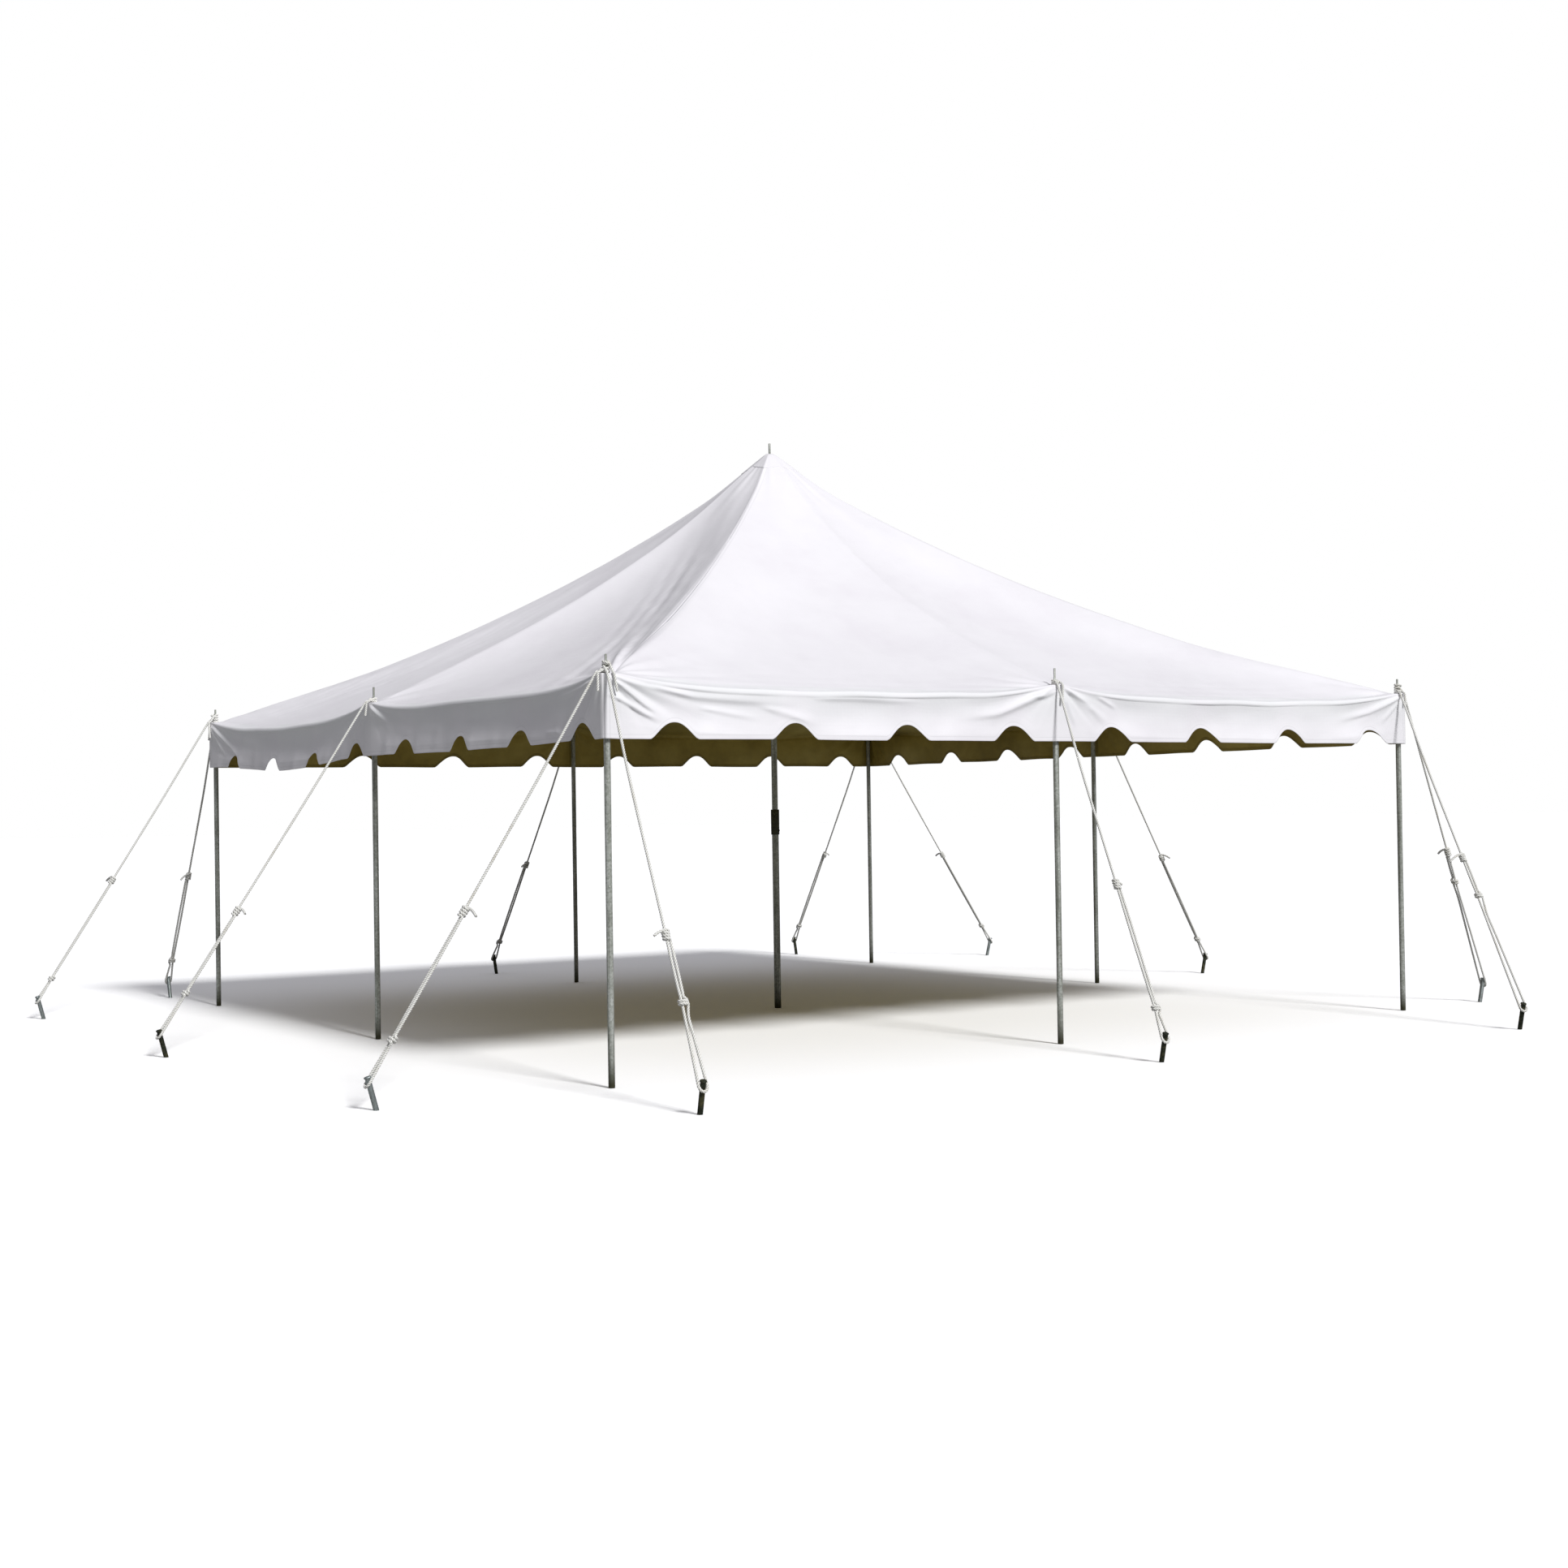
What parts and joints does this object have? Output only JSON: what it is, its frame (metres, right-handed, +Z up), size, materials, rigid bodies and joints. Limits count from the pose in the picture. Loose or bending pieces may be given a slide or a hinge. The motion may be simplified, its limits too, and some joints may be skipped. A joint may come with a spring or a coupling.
{
  "type": "marquee tent",
  "caption": "Square white pole tent with a peaked canopy, a scalloped valance, steel side poles, a centre pole, guy ropes and steel stakes.",
  "frame": {"origin": "middle of the centre pole's foot, on the ground", "axes": "+Z up, +X towards the right side of the tent, +Y towards its back"},
  "size_m": [8.9589, 8.9166, 4.047],
  "materials": {
    "coated_fabric": "coated, soft sheen",
    "galvanised_steel": "galvanised, dull",
    "weathered_steel": "dark olive, worn",
    "bare_steel": "bare bar, dull",
    "white_rope": "twisted rope, matt"
  },
  "bodies": {
    "root": {"roof_front": "coated_fabric", "roof_right": "coated_fabric", "roof_back": "coated_fabric", "roof_left": "coated_fabric", "valance_front": "coated_fabric", "valance_right": "coated_fabric", "valance_back": "coated_fabric", "valance_left": "coated_fabric", "crown_patch": "coated_fabric", "side_pole_front_left": "galvanised_steel", "side_pole_front_middle": "galvanised_steel", "side_pole_front_right": "galvanised_steel", "side_pole_right_middle": "galvanised_steel", "side_pole_back_right": "galvanised_steel", "side_pole_back_middle": "galvanised_steel", "side_pole_back_left": "galvanised_steel", "side_pole_left_middle": "galvanised_steel", "centre_pole_lower": "galvanised_steel", "centre_pole_upper": "galvanised_steel", "centre_pole_sleeve": "weathered_steel", "guy_rope_front_left_1": "white_rope", "guy_rope_front_left_2": "white_rope", "guy_rope_front_middle": "white_rope", "guy_rope_front_right_1": "white_rope", "guy_rope_front_right_2": "white_rope", "guy_rope_right_middle": "white_rope", "guy_rope_back_right_1": "white_rope", "guy_rope_back_right_2": "white_rope", "guy_rope_back_middle": "white_rope", "guy_rope_back_left_1": "white_rope", "guy_rope_back_left_2": "white_rope", "guy_rope_left_middle": "white_rope", "stake_front_left_1": "bare_steel", "stake_front_left_2": "bare_steel", "stake_front_middle": "bare_steel", "stake_front_right_1": "bare_steel", "stake_front_right_2": "bare_steel", "stake_right_middle": "bare_steel", "stake_back_right_1": "bare_steel", "stake_back_right_2": "bare_steel", "stake_back_middle": "bare_steel", "stake_back_left_1": "bare_steel", "stake_back_left_2": "bare_steel", "stake_left_middle": "bare_steel"}
  },
  "joints": []
}
